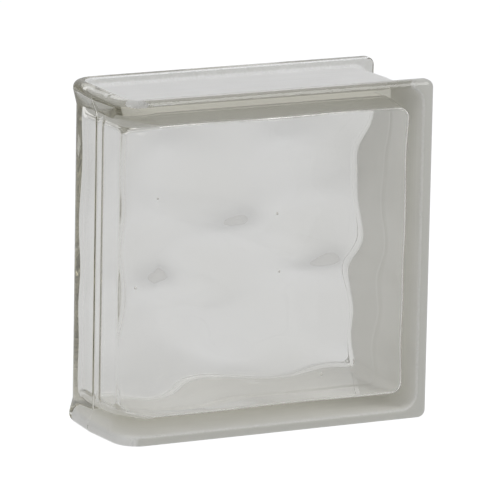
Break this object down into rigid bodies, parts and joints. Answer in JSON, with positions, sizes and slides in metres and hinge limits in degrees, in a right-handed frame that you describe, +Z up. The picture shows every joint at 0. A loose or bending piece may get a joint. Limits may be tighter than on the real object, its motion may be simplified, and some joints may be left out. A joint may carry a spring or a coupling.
{
  "type": "glass block",
  "caption": "Hollow clear glass block with waved inner faces, mortar channels along three edges and a smooth rounded end on the fourth.",
  "frame": {"origin": "middle of the block's bottom, on the seam between its two halves", "axes": "+X along the face from the finished end to the open end of the channels, +Y from the front face to the back face, +Z up"},
  "size_m": [0.188, 0.08, 0.19],
  "materials": {
    "pressed_glass": "clear, fire-polished",
    "edge_coating": "thin white coating"
  },
  "bodies": {
    "root": {"front_half": "pressed_glass", "back_half": "pressed_glass"}
  },
  "joints": []
}
